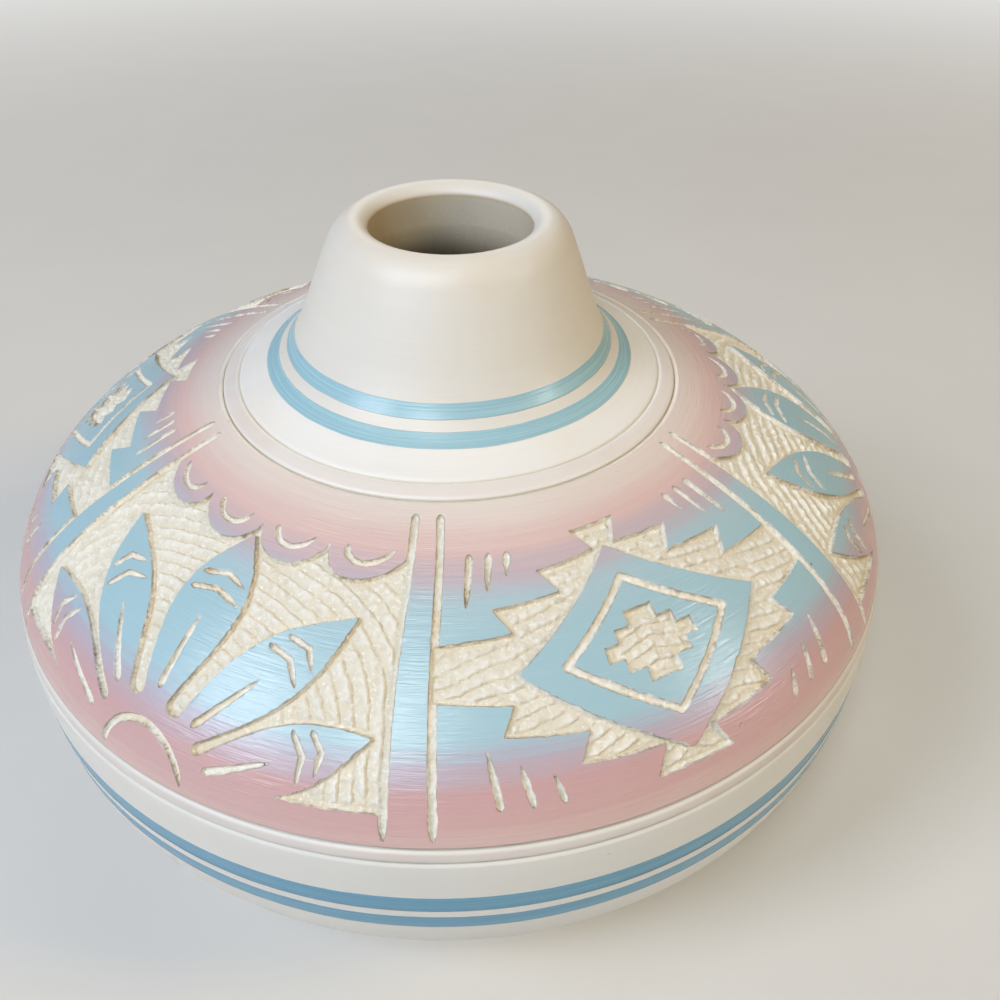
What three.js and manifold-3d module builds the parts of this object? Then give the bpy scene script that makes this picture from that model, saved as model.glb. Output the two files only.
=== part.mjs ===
// A squat hand-thrown pottery vase: five ring sections joined one on top of the other,
// with a carved band round the shoulder.
// Millimetres, +Z up, the origin at the centre of the foot on the table.

import * as THREE from 'three';
import { mergeVertices } from 'three/addons/utils/BufferGeometryUtils.js';
import Module from 'manifold-3d';

// Heights of the body, from the table up
const bellyHeight = 72;           // widest ring
const shoulderHeight = 54.3;      // widest ring to the foot of the neck
const neckHeight = 41.7;          // foot of the neck to the crest of the lip

// Outside radii
const bellyRadius = 125;
const collarRadius = 62;          // turned line where the neck collar meets the shoulder
const footRadius = 60;            // foot ring at the table

// Foot ring
const footFlare = 2;              // how much the ring widens towards its top
const footHeight = 5;
const footWidth = 10;             // flat that the vase stands on, with its bevels
const footBevel = 0.8;

// Lip and mouth
const mouthRadius = 20.4;
const mouthDrop = 4.5;            // crest of the lip down to the tightest part of the mouth
const lipWidth = 11.1;            // mouth to where the neck turns over into the lip
const lipHeight = 5.5;            // that turn up to the crest
const crestSetIn = 4.6;           // mouth to the crest
const throatUndercut = 1.6;       // how much wider the bore is under the lip

// Bends of the outside curve: slopes in degrees, and how far each end is drawn out
const bowlSlope = 20;
const bowlSpread = 67;
const bowlPull = 31.5;
const shoulderPull = 15;
const shoulderSpread = 64;
const collarSlope = 18.4;
const neckSpread = 24;
const neckSlope = 67.5;
const neckPull = 28;
const lipPull = 2.6;
const crestPull = 3;
const mouthPull = 2.4;

// Walls and the bore of the neck
const wall = 6.5;
const floorThickness = 7;
const openingSlope = 28;
const openingPull = 14;
const throatPull = 16;

// Joints between the thrown sections
const bellySeamRise = 11.4;       // widest ring up to the joint of bowl and shoulder
const rimSeamDrop = 5.5;          // turn of the lip down to the joint of collar and rim
const galleryWidth = 12;          // step in the shoulder that the collar sits in
const galleryDepth = 3;
const galleryThickness = 5;
const jointGap = 0.3;             // slip line round the collar

// Turned lines
const lineWidth = 1.6;
const lineDepth = 0.7;
const bellyLineDrop = 3.7;        // joint down to the second belly line
const neckLineSetIn = 4.6;        // collar's edge to the second neck line

// Carved band: panels in turn, a stepped diamond and a fan of feathers
const panels = 6;
const firstPanelAt = -92;         // degrees, left edge of the first panel
const barHalf = 2.1;              // degrees, half of the plain bar between two panels
const bandTopDrop = 12;           // collar down to the carved ground
const bandBottomRise = 8.1;       // belly joint up to the carved ground
const carvingDepth = 1.3;

// Diamond panel
const diamondHalf = 17.5;         // degrees
const diamondTopGap = 6;
const diamondBottomGap = 3.5;
const crossSteps = [[2.2, 8.2], [4.4, 4.9], [6.4, 1.9]]; // half widths in degrees, half heights
const teethStart = 4.75;          // degrees from the middle, where a corner's saw teeth begin
const teethReach = 23;            // how far they come along the side of the panel
const teethCount = 3;
const toothDepth = 7;

// Fan panel
const fanRootDrop = 7;            // carved ground down to the root of the feathers
const hubRadius = 17;
const featherLeans = [-66, -36, 0, 36, 66];
const featherLengths = [55, 58, 59, 58, 55];
const featherWidths = [15, 16.5, 17.5, 16.5, 15];
const featherSwell = 1.45;        // higher puts the widest place further out
const cloudCount = 4;
const cloudRadius = 9.4;
const cloudPitch = 18.2;

// Fineness
const segments = 48;
const bowlSteps = 11;
const bellySteps = 2;
const shoulderSteps = 10;
const neckSteps = 8;
const innerSteps = 8;
const lipSteps = 4;
const featherSteps = 7;
const roundSteps = 6;
const drapeStep = 6;              // degrees, the longest straight run of a carved edge

// How far the shapes that cut the band stand clear of the skin, reach below the ground and overlap
const drapeLift = 25;
const drapeSink = 3;
const drapeOverlap = 1;

const point = (r, z) => new THREE.Vector2(r, z);
const radians = THREE.MathUtils.degToRad;
const up = Math.PI / 2;
const inward = Math.PI;

// A curve that leaves one point at a slope and reaches another at a slope
function bend(start, startAngle, startPull, end, endAngle, endPull) {
  const out = point(Math.cos(startAngle), Math.sin(startAngle)).multiplyScalar(startPull);
  const back = point(Math.cos(endAngle), Math.sin(endAngle)).multiplyScalar(endPull);
  return new THREE.CubicBezierCurve(start, start.clone().add(out), end.clone().sub(back), end);
}

// Place on a curve, set in by a depth square to it
function place(curve, along, depth = 0) {
  const heading = curve.getTangentAt(along);
  return curve.getPointAt(along).add(point(-heading.y, heading.x).multiplyScalar(depth));
}

// How far along a curve it first meets a test, by halving
function find(test) {
  let low = 0;
  let high = 1;
  for (let halving = 0; halving < 30; halving += 1) {
    const middle = (low + high) / 2;
    if (test(middle)) {
      high = middle;
    } else {
      low = middle;
    }
  }
  return high;
}

const atHeight = (curve, height, depth = 0) => find((along) => place(curve, along, depth).y >= height);
const atRadius = (curve, radius) => find((along) => place(curve, along).x <= radius);

// Points along a curve from one place to another, both ends included
function stretch(curve, from, to, steps, depth = 0) {
  const points = [];
  for (let step = 0; step <= steps; step += 1) {
    points.push(place(curve, THREE.MathUtils.lerp(from, to, step / steps), depth));
  }
  return points;
}

// Half a turned line's width, as a share of a curve
const halfLine = (curve) => lineWidth / 2 / curve.getLength();

// A turned line: its two edges and its bottom
function line(curve, along) {
  const half = halfLine(curve);
  return [place(curve, along - half), place(curve, along, lineDepth), place(curve, along + half)];
}

// The outside curve, from the foot to the mouth
const footTopRadius = footRadius + footFlare;
const collarHeight = bellyHeight + shoulderHeight;
const totalHeight = collarHeight + neckHeight;
const bellyPoint = point(bellyRadius, bellyHeight);
const collarPoint = point(collarRadius, collarHeight);
const lipPoint = point(mouthRadius + lipWidth, totalHeight - lipHeight);
const crestPoint = point(mouthRadius + crestSetIn, totalHeight);
const mouthPoint = point(mouthRadius, totalHeight - mouthDrop);
const collarHeading = inward - radians(collarSlope);
const neckHeading = inward - radians(neckSlope);
const footEdge = point(footTopRadius, footHeight);
const bowlCurve = bend(footEdge, radians(bowlSlope), bowlSpread, bellyPoint, up, bowlPull);
const shoulderCurve = bend(bellyPoint, up, shoulderPull, collarPoint, collarHeading, shoulderSpread);
const neckCurve = bend(collarPoint, collarHeading, neckSpread, lipPoint, neckHeading, neckPull);
const lipCurve = bend(lipPoint, neckHeading, lipPull, crestPoint, inward, crestPull);
const mouthCurve = bend(crestPoint, inward, crestPull, mouthPoint, -up, mouthPull);

// Joint heights and the bore
const bellySeam = bellyHeight + bellySeamRise;
const bellySeamAt = atHeight(shoulderCurve, bellySeam);
const rimSeam = totalHeight - lipHeight - rimSeamDrop;
const galleryFloor = collarHeight - galleryDepth;
const galleryUnder = galleryFloor - galleryThickness;
const openingRadius = collarRadius - galleryWidth;
const throatPoint = point(mouthRadius + throatUndercut, rimSeam);
const openingPoint = point(openingRadius, galleryFloor);
const openingHeading = inward - radians(openingSlope);
const boreCurve = bend(openingPoint, openingHeading, openingPull, throatPoint, up, throatPull);
const throatCurve = bend(mouthPoint, -up, mouthPull, throatPoint, -up, mouthPull);

// Each section's outline runs anticlockwise: out along the bottom, up the outside, back down the inside

function footRing() {
  const inside = footRadius - footWidth;
  return [
    point(inside, footBevel),
    point(inside + footBevel, 0),
    point(footRadius - footBevel, 0),
    point(footRadius, footBevel),
    footEdge,
    point(inside, footHeight),
    point(inside, footBevel),
  ];
}

function lowerBowl() {
  const lineAt = atHeight(shoulderCurve, bellySeam - bellyLineDrop);
  const innerSeamAt = atHeight(shoulderCurve, bellySeam, wall);
  const floorTop = footHeight + floorThickness;
  const floorAt = atHeight(bowlCurve, floorTop, wall);
  const half = halfLine(shoulderCurve);
  const inside = [
    ...stretch(bowlCurve, floorAt, 1, innerSteps, wall),
    ...stretch(shoulderCurve, 0, innerSeamAt, bellySteps, wall).slice(1),
  ];
  return [
    point(0, footHeight),
    ...stretch(bowlCurve, 0, 1, bowlSteps),
    ...stretch(shoulderCurve, 0, lineAt - half, bellySteps).slice(1, -1),
    ...line(shoulderCurve, lineAt),
    place(shoulderCurve, bellySeamAt - half),
    point(place(shoulderCurve, bellySeamAt).x - lineDepth, bellySeam),
    ...inside.reverse(),
    point(0, floorTop),
  ];
}

// The shoulder's skin between its two joints, or what lies a depth below it
function shoulderSkin(depth) {
  const half = halfLine(shoulderCurve);
  return stretch(shoulderCurve, bellySeamAt + half, 1 - half, shoulderSteps, depth);
}

function shoulderShell() {
  const innerSeamAt = atHeight(shoulderCurve, bellySeam, wall);
  const underAt = atHeight(shoulderCurve, galleryUnder, wall);
  const start = point(place(shoulderCurve, bellySeamAt).x - lineDepth, bellySeam);
  return [
    start,
    ...shoulderSkin(0),
    point(collarRadius, collarHeight - lineDepth),
    point(collarRadius, galleryFloor),
    openingPoint,
    point(openingRadius, galleryUnder),
    ...stretch(shoulderCurve, innerSeamAt, underAt, innerSteps, wall).reverse(),
    start.clone(),
  ];
}

// What the carving leaves whole
function underCarving() {
  const skin = shoulderSkin(carvingDepth);
  return [
    point(openingRadius, skin[0].y),
    ...skin,
    point(openingRadius, skin[skin.length - 1].y),
    point(openingRadius, skin[0].y),
  ];
}

function neckCollar() {
  const half = halfLine(neckCurve);
  const lineAt = atRadius(neckCurve, collarRadius - neckLineSetIn);
  const seamAt = atHeight(neckCurve, rimSeam);
  const edge = collarRadius - jointGap;
  return [
    openingPoint,
    point(edge, galleryFloor),
    point(edge, collarHeight - lineDepth),
    place(neckCurve, half),
    ...line(neckCurve, lineAt),
    ...stretch(neckCurve, lineAt + half, seamAt, neckSteps).slice(1),
    ...stretch(boreCurve, 0, 1, innerSteps).reverse(),
  ];
}

function rimRing() {
  const seamAt = atHeight(neckCurve, rimSeam);
  return [
    throatPoint,
    ...stretch(neckCurve, seamAt, 1, bellySteps),
    ...stretch(lipCurve, 0, 1, lipSteps).slice(1),
    ...stretch(mouthCurve, 0, 1, lipSteps).slice(1),
    ...stretch(throatCurve, 0, 1, bellySteps).slice(1),
  ];
}

// A section turned about the upright axis
function turned(outline) {
  return new THREE.LatheGeometry(outline, segments).rotateX(up);
}

const wasm = await Module();
wasm.setup();

// A closed geometry as a solid that can be cut
function solidOf(geometry) {
  geometry.deleteAttribute('normal');
  geometry.deleteAttribute('uv');
  const merged = mergeVertices(geometry);
  const vertProperties = Float32Array.from(merged.attributes.position.array);
  const triVerts = Uint32Array.from(merged.index.array);
  return new wasm.Manifold(new wasm.Mesh({ numProp: 3, vertProperties, triVerts }));
}

function geometryOf(solid) {
  const { vertProperties, triVerts } = solid.getMesh();
  const geometry = new THREE.BufferGeometry();
  geometry.setAttribute('position', new THREE.BufferAttribute(vertProperties, 3));
  geometry.setIndex(new THREE.BufferAttribute(triVerts, 1));
  geometry.computeVertexNormals();
  return geometry;
}

// The band is drawn flat: degrees from the middle of a panel, and distance down from the collar
const shoulderLength = shoulderCurve.getLength();
const onShoulder = (sweep, depth) => place(shoulderCurve, 1 - sweep / shoulderLength, depth);
const degreesFor = (distance, sweep) => distance / (radians(1) * onShoulder(sweep, 0).x);

const panelHalf = 180 / panels - barHalf;
const groundTop = bandTopDrop;
const groundBottom = shoulderLength * (1 - bellySeamAt) - bandBottomRise;
const fanRoot = groundBottom + fanRootDrop;
const ground = [
  [-panelHalf, groundTop],
  [panelHalf, groundTop],
  [panelHalf, groundBottom],
  [-panelHalf, groundBottom],
];

// A drawn shape laid on the shoulder, as a solid that stands through the skin
function draped(outline, middle) {
  const edge = outline.flatMap(([angle, sweep], index) => {
    const [nextAngle, nextSweep] = outline[(index + 1) % outline.length];
    const runs = Math.max(1, Math.ceil(Math.abs(nextAngle - angle) / drapeStep));
    return Array.from({ length: runs }, (_, run) => point(
      THREE.MathUtils.lerp(angle, nextAngle, run / runs),
      THREE.MathUtils.lerp(sweep, nextSweep, run / runs),
    ));
  });
  const slab = { depth: 1, steps: 1, bevelEnabled: false };
  const geometry = new THREE.ExtrudeGeometry(new THREE.Shape(edge), slab);
  const corners = geometry.attributes.position;
  for (let index = 0; index < corners.count; index += 1) {
    const turn = radians(middle + corners.getX(index));
    const depth = THREE.MathUtils.lerp(-drapeLift, drapeSink, corners.getZ(index));
    const section = onShoulder(corners.getY(index), depth);
    corners.setXYZ(index, section.x * Math.cos(turn), section.x * Math.sin(turn), section.y);
  }
  return solidOf(geometry);
}

function diamond() {
  const top = groundTop + diamondTopGap;
  const bottom = groundBottom - diamondBottomGap;
  const centre = (top + bottom) / 2;
  return [[0, top], [diamondHalf, centre], [0, bottom], [-diamondHalf, centre]];
}

// The stepped cross that is cut into the diamond
function steppedCross() {
  const centre = diamond()[1][1];
  const quarter = crossSteps.flatMap(([half, rise], index) => {
    const next = crossSteps[index + 1];
    return next ? [[half, rise], [half, next[1]]] : [[half, rise]];
  });
  const lower = quarter.map(([half, rise]) => [half, centre + rise]);
  const upper = quarter.map(([half, rise]) => [half, centre - rise]);
  const right = [...upper, ...lower.reverse()];
  return [...right, ...right.map(([half, sweep]) => [-half, sweep]).reverse()];
}

// A corner with its saw teeth: side is 1 on the right, down is 1 at the top
function toothedCorner(side, down) {
  const level = down > 0 ? groundTop : groundBottom;
  const start = [side * teethStart, level];
  const end = [side * panelHalf, level + down * teethReach];
  const perMillimetre = degreesFor(1, (start[1] + end[1]) / 2);
  const across = (end[0] - start[0]) / perMillimetre;
  const along = end[1] - start[1];
  const stand = toothDepth / Math.hypot(across, along);
  const teeth = Array.from({ length: teethCount }, (_, tooth) => {
    const angle = THREE.MathUtils.lerp(start[0], end[0], tooth / teethCount);
    const sweep = THREE.MathUtils.lerp(start[1], end[1], tooth / teethCount);
    const tipAngle = angle - side * stand * Math.abs(along) * perMillimetre;
    return [[angle, sweep], [tipAngle, sweep + down * stand * Math.abs(across)]];
  });
  const outside = side * (panelHalf + barHalf);
  const beyond = level - down * drapeOverlap;
  return [[outside, beyond], [start[0], beyond], ...teeth.flat(), end, [outside, end[1]]];
}

// A place on a feather: its distance from the root, and how far to the right of the quill
function onFeather(lean, distance, aside) {
  const turn = radians(lean);
  const sweep = fanRoot - distance * Math.cos(turn) + aside * Math.sin(turn);
  return [degreesFor(distance * Math.sin(turn) + aside * Math.cos(turn), sweep), sweep];
}

function feather(lean, index) {
  const length = featherLengths[index];
  const side = (right) => Array.from({ length: featherSteps - 1 }, (_, step) => {
    const share = (step + 1) / featherSteps;
    const half = (featherWidths[index] / 2) * Math.sin(Math.PI * share ** featherSwell);
    return onFeather(lean, share * length, right * half);
  });
  return [onFeather(lean, 0, 0), ...side(1), onFeather(lean, length, 0), ...side(-1).reverse()];
}

// A half-round standing up from a level, or hanging down from it
function halfRound(x, level, radius, down) {
  return Array.from({ length: roundSteps + 1 }, (_, step) => {
    const turn = inward * (step / roundSteps);
    const sweep = level + down * radius * Math.sin(turn);
    return [degreesFor(x + radius * Math.cos(turn), sweep), sweep];
  });
}

function cloud(index) {
  const x = (index - (cloudCount - 1) / 2) * cloudPitch;
  const base = groundTop - drapeOverlap;
  return [
    [degreesFor(x + cloudRadius, base), base],
    ...halfRound(x, groundTop, cloudRadius, 1),
    [degreesFor(x - cloudRadius, base), base],
  ];
}

const diamondKeeps = [
  diamond(),
  toothedCorner(-1, 1),
  toothedCorner(1, 1),
  toothedCorner(-1, -1),
  toothedCorner(1, -1),
];
const fanKeeps = [
  halfRound(0, fanRoot, hubRadius, -1),
  ...featherLeans.map(feather),
  ...Array.from({ length: cloudCount }, (_, index) => cloud(index)),
];

// The ground that is cut away in one panel
function carvedGround(panel) {
  const middle = firstPanelAt + ((panel + 0.5) * 360) / panels;
  const hasDiamond = panel % 2 === 0;
  const keeps = hasDiamond ? diamondKeeps : fanKeeps;
  let cut = draped(ground, middle);
  for (const outline of keeps) {
    cut = cut.subtract(draped(outline, middle));
  }
  return hasDiamond ? cut.add(draped(steppedCross(), middle)) : cut;
}

function carvedShoulder() {
  const whole = solidOf(turned(underCarving()));
  let shell = solidOf(turned(shoulderShell()));
  for (let panel = 0; panel < panels; panel += 1) {
    shell = shell.subtract(carvedGround(panel).subtract(whole));
  }
  return geometryOf(shell);
}

function piece(name, geometry, color, roughness) {
  const mesh = new THREE.Mesh(geometry, new THREE.MeshStandardMaterial({ color, roughness, metalness: 0 }));
  mesh.name = name;
  return mesh;
}

const vase = new THREE.Group();
vase.add(piece('foot_ring', turned(footRing()), '#e6dccb', 0.85));
vase.add(piece('lower_bowl', turned(lowerBowl()), '#e9e4dc', 0.6));
vase.add(piece('shoulder_shell', carvedShoulder(), '#c9a9ae', 0.55));
vase.add(piece('neck_collar', turned(neckCollar()), '#e8e1d3', 0.5));
vase.add(piece('rim_ring', turned(rimRing()), '#efe6d6', 0.5));

export default vase;
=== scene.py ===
import math
from itertools import product

import bmesh
import bpy
import numpy as np
from mathutils import Matrix, Vector
from mathutils.geometry import interpolate_bezier


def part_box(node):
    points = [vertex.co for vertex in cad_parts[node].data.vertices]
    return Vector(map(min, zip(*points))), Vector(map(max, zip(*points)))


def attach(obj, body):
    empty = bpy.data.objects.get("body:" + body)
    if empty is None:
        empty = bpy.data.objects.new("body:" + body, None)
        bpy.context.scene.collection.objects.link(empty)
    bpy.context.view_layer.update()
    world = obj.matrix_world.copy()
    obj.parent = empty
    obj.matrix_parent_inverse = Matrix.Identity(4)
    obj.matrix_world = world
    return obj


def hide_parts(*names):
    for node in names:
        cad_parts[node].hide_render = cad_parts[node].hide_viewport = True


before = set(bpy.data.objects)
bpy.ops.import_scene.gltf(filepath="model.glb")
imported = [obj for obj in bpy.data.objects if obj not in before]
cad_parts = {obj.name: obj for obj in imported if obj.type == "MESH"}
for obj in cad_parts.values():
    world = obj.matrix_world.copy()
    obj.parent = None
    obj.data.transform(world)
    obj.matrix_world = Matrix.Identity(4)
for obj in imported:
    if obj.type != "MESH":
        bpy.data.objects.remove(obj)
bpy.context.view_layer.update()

# A squat carved pottery vase. Lengths in the dictionaries are millimetres and angles degrees.
mm = 0.001
scene = bpy.context.scene
print("frame loaded", len(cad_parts), "solids")


# The outside curve, the same one that the solids were turned to
def topOf(node):
    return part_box(node)[1].z / mm


def widestOf(node):
    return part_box(node)[1].x / mm


form = {
    "footEdge": (widestOf("foot_ring"), topOf("foot_ring")),
    "belly": (widestOf("lower_bowl"), 72.0),
    "collar": (62.0, 126.3),
    "lipTurn": (31.5, 162.5),
    "crest": (25.0, topOf("rim_ring")),
    "mouth": (21.0, 165.5),
    "throat": (21.6, topOf("neck_collar")),
    "bowlSlope": 20.0, "collarSlope": 18.4, "neckSlope": 67.5, "boreSlope": 28.0,
    "bowlPulls": (67.0, 31.5), "shoulderPulls": (15.0, 64.0), "neckPulls": (24.0, 28.0),
    "lipPulls": (2.6, 3.0), "mouthPulls": (2.7, 0.7), "throatPulls": (2.4, 2.4), "borePulls": (14.0, 16.0),
    "bellySeam": topOf("lower_bowl"), "rimSeam": topOf("neck_collar"),
    "gallery": (50.0, 123.3), "galleryUnder": 118.3, "jointGap": 0.3,
    "wall": 6.5, "floorTop": 12.0,
    "fineness": 160, "halvings": 40,
}


def bend(start, startSlope, end, endSlope, pulls):
    # a curve that leaves one point at a slope and reaches the other at a slope
    leave = Vector((math.cos(math.radians(startSlope)), math.sin(math.radians(startSlope)))) * pulls[0]
    reach = Vector((math.cos(math.radians(endSlope)), math.sin(math.radians(endSlope)))) * pulls[1]
    begin, finish = Vector(start), Vector(end)
    points = interpolate_bezier(begin, begin + leave, finish - reach, finish, form["fineness"])
    return np.array([(p[0], p[1]) for p in points])


inward = 180.0
outsideParts = [
    bend(form["footEdge"], form["bowlSlope"], form["belly"], 90, form["bowlPulls"]),
    bend(form["belly"], 90, form["collar"], inward - form["collarSlope"], form["shoulderPulls"]),
    bend(form["collar"], inward - form["collarSlope"], form["lipTurn"], inward - form["neckSlope"],
         form["neckPulls"]),
    bend(form["lipTurn"], inward - form["neckSlope"], form["crest"], inward, form["lipPulls"]),
    bend(form["crest"], inward, form["mouth"], -90, form["mouthPulls"]),
    bend(form["mouth"], -90, form["throat"], -90, form["throatPulls"]),
]
boreCurve = bend(form["gallery"], inward - form["boreSlope"], form["throat"], 90, form["borePulls"])

# One long outline with its sweep: the distance along it from the collar, downwards positive
outline = np.concatenate([outsideParts[0]] + [part[1:] for part in outsideParts[1:]])
lengths = np.concatenate([[0], np.cumsum(np.hypot(*np.diff(outline, axis=0).T))])
collarLength = lengths[2 * (form["fineness"] - 1)]
heading = np.gradient(outline, axis=0)
heading /= np.hypot(heading[:, 0], heading[:, 1])[:, None]
curve = {
    "sweep": (collarLength - lengths)[::-1],
    "r": outline[::-1, 0], "z": outline[::-1, 1],
    "outR": heading[::-1, 1], "outZ": -heading[::-1, 0],
}


def onOutside(sweep, depth=0.0):
    # radius and height of a place on the outside, set in by a depth
    r, z, outR, outZ = (np.interp(sweep, curve["sweep"], curve[key]) for key in ("r", "z", "outR", "outZ"))
    return r - depth * outR, z - depth * outZ


def sweepAt(height, depth=0.0, low=0.0, high=None):
    # sweep of the place where the body reaches a height, by halving
    high = footSweep if high is None else high
    for halving in range(form["halvings"]):
        middle = (low + high) / 2
        if onOutside(middle, depth)[1] > height:
            low = middle
        else:
            high = middle
    return low


footSweep = collarLength
bellySeamSweep = sweepAt(form["bellySeam"])
rimSeamSweep = sweepAt(form["rimSeam"], low=curve["sweep"][0] * 0.8, high=0.0)

# Turned lines: sweep, width and depth
lineHollow = 1.3        # higher makes the sides of a turned line more hollow
turnedLines = [
    (0.0, 1.8, 0.6),
    (-4.9, 1.4, 0.5),
    (bellySeamSweep, 2.2, 0.7),
    (bellySeamSweep + 3.9, 1.9, 0.6),
    (bellySeamSweep + 21.3, 0.9, 0.28),
]


def lineDepth(sweep):
    depth = np.zeros(np.shape(sweep))
    for place, width, deep in turnedLines:
        share = np.clip(np.abs(sweep - place) / (width / 2), 0, 1)
        depth = np.maximum(depth, deep * (0.5 + 0.5 * np.cos(math.pi * share)) ** lineHollow)
    return depth


# How a thrown pot is never quite round, and the neck leans a little
hand = {"oval": 0.2, "ovalTurn": 0.8, "lobes": 0.1, "lobeTurn": -1.1, "leanRight": 1.4, "leanBack": 1.4,
        "steadyBelow": 20.0, "steadyWithin": 20.0, "leanPower": 1.5}


def byHand(x, y, z):
    angle = np.arctan2(y, x)
    radius = np.hypot(x, y)
    free = np.clip((z - form["footEdge"][1]) / hand["steadyBelow"], 0, 1)
    free = free * np.clip(radius / hand["steadyWithin"], 0, 1)
    change = hand["oval"] * np.cos(2 * angle + hand["ovalTurn"])
    change = (change + hand["lobes"] * np.cos(3 * angle + hand["lobeTurn"])) * free
    rise = (z - form["collar"][1]) / (form["crest"][1] - form["collar"][1])
    rise = np.clip(rise, 0, 1) ** hand["leanPower"]
    x = x + change * np.cos(angle) + hand["leanRight"] * rise
    y = y + change * np.sin(angle) + hand["leanBack"] * rise
    return x, y, z


def spaceNoise(x, y, z, size, seed):
    # smooth values from -1 to 1 in space, with a new one every size mm
    places = np.stack([x, y, z], axis=-1) / size
    cells = np.floor(places)
    share = places - cells
    share = share * share * (3 - 2 * share)
    total = np.zeros(x.shape)
    for corner in product((0, 1), repeat=3):
        cell = cells + np.array(corner)
        dice = np.sin(cell @ np.array([12.9898, 78.233, 37.719]) + seed * 5.31) * 43758.5453
        value = 2 * (dice - np.floor(dice)) - 1
        weight = np.prod(np.where(np.array(corner) == 1, share, 1 - share), axis=-1)
        total += value * weight
    return total


# Plain turned sections: an outline of (radius, height, sweep, bare) spun about the upright axis
bareClay = 1.0          # what the bare value says: 0 is slip, 1 bare clay outside, 2 the clay of the inside
insideClay = 2.0


def turnSection(outlinePoints, steps, closed=True):
    bm = bmesh.new()
    sweepLayer = bm.verts.layers.float.new("sweep")
    bareLayer = bm.verts.layers.float.new("bare")
    ring = []
    for radius, height, sweep, bare in outlinePoints:
        vert = bm.verts.new((radius * mm, 0, height * mm))
        vert[sweepLayer] = sweep
        vert[bareLayer] = bare
        ring.append(vert)
    ends = ring[1:] + ring[:1] if closed else ring[1:]
    edges = [bm.edges.new(pair) for pair in zip(ring, ends)]
    bmesh.ops.spin(bm, geom=ring + edges, cent=(0, 0, 0), axis=(0, 0, 1), dvec=(0, 0, 0),
                   angle=2 * math.pi, steps=steps, use_merge=True)
    bmesh.ops.remove_doubles(bm, verts=bm.verts, dist=0.002 * mm)
    bmesh.ops.recalc_face_normals(bm, faces=bm.faces)
    for vert in bm.verts:
        x, y, z = byHand(*(c / mm for c in vert.co))
        vert.co = (float(x) * mm, float(y) * mm, float(z) * mm)
    return bm


def finishPiece(bm, name, nodes, material, sharpAngle=38.0):
    mesh = bpy.data.meshes.new(name)
    bm.to_mesh(mesh)
    bm.free()
    mesh.shade_smooth()
    mesh.set_sharp_from_angle(angle=math.radians(sharpAngle))
    mesh.materials.append(material)
    piece = bpy.data.objects.new(name, mesh)
    scene.collection.objects.link(piece)
    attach(piece, "root")
    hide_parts(*nodes)
    return piece


def outsideRun(fromSweep, toSweep, step, bare=0.0):
    # outline points down the outside, closer together at the turned lines
    count = max(2, math.ceil(abs(toSweep - fromSweep) / step) + 1)
    sweeps = list(np.linspace(fromSweep, toSweep, count))
    for place, width, deep in turnedLines:
        sweeps += [place + width * share for share in (-0.5, -0.33, -0.18, 0.0, 0.18, 0.33, 0.5)]
    low, high = min(fromSweep, toSweep), max(fromSweep, toSweep)
    kept = sorted({round(s, 3) for s in sweeps if low - 1e-6 <= s <= high + 1e-6})
    if fromSweep > toSweep:
        kept.reverse()
    return [(*map(float, onOutside(s, lineDepth(s))), s, bare) for s in kept]


# Node helpers
def addNode(tree, kind, inputs=None, **settings):
    node = tree.nodes.new("ShaderNode" + kind)
    for key, value in settings.items():
        setattr(node, key, value)
    for key, value in (inputs or {}).items():
        if isinstance(value, bpy.types.NodeSocket):
            tree.links.new(value, node.inputs[key])
        else:
            node.inputs[key].default_value = value
    return node


def sums(tree, operation, first, second=0.0, third=0.0, clamp=False):
    node = addNode(tree, "Math", {0: first, 1: second, 2: third},
                   operation=operation, use_clamp=clamp)
    return node.outputs[0]


def times(tree, first, second, clamp=False):
    return sums(tree, "MULTIPLY", first, second, clamp=clamp)


def scaled(tree, value, factor, offset, clamp=False):
    return sums(tree, "MULTIPLY_ADD", value, factor, offset, clamp=clamp)


def mixed(tree, share, first, second):
    return addNode(tree, "Mix", {0: share, 6: first, 7: second}, data_type="RGBA").outputs[2]


def between(tree, value, low, high):
    # a smooth step from 0 at one value to 1 at another
    node = addNode(tree, "MapRange", {0: value, 1: low, 2: high},
                   interpolation_type="SMOOTHSTEP", clamp=True)
    return node.outputs[0]


def tinted(tree, share, base, colour):
    # a share of a colour, written from 0 to 255, laid over a base
    return mixed(tree, share, base, written(*colour))


def inMillimetres(tree):
    place = addNode(tree, "TexCoord").outputs["Object"]
    return addNode(tree, "VectorMath", {0: place, 3: 1 / mm}, operation="SCALE").outputs[0]


def written(red, green, blue):
    # a colour as it is written on screen, from 0 to 255, made linear
    channels = [c / 255 for c in (red, green, blue)]
    return tuple(c / 12.92 if c <= 0.04045 else ((c + 0.055) / 1.055) ** 2.4 for c in channels) + (1.0,)


def newGroup(name, inputs, outputs):
    group = bpy.data.node_groups.new(name, "ShaderNodeTree")
    for label, default in inputs.items():
        socket = group.interface.new_socket(name=label, in_out="INPUT", socket_type="NodeSocketFloat")
        socket.default_value = default
    for label in outputs:
        group.interface.new_socket(name=label, in_out="OUTPUT", socket_type="NodeSocketFloat")
    return group, group.nodes.new("NodeGroupInput").outputs, group.nodes.new("NodeGroupOutput")


def useGroup(tree, group, inputs):
    return addNode(tree, "Group", inputs, node_tree=group).outputs


def noise(tree, place, scale, detail=2.0, roughness=0.5, along=None):
    inputs = {"Vector": place, "Scale": scale, "Detail": detail, "Roughness": roughness}
    if along is not None:
        inputs["W"] = along
    node = addNode(tree, "TexNoise", inputs, noise_dimensions="3D" if along is None else "4D")
    return node.outputs["Fac"]


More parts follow.
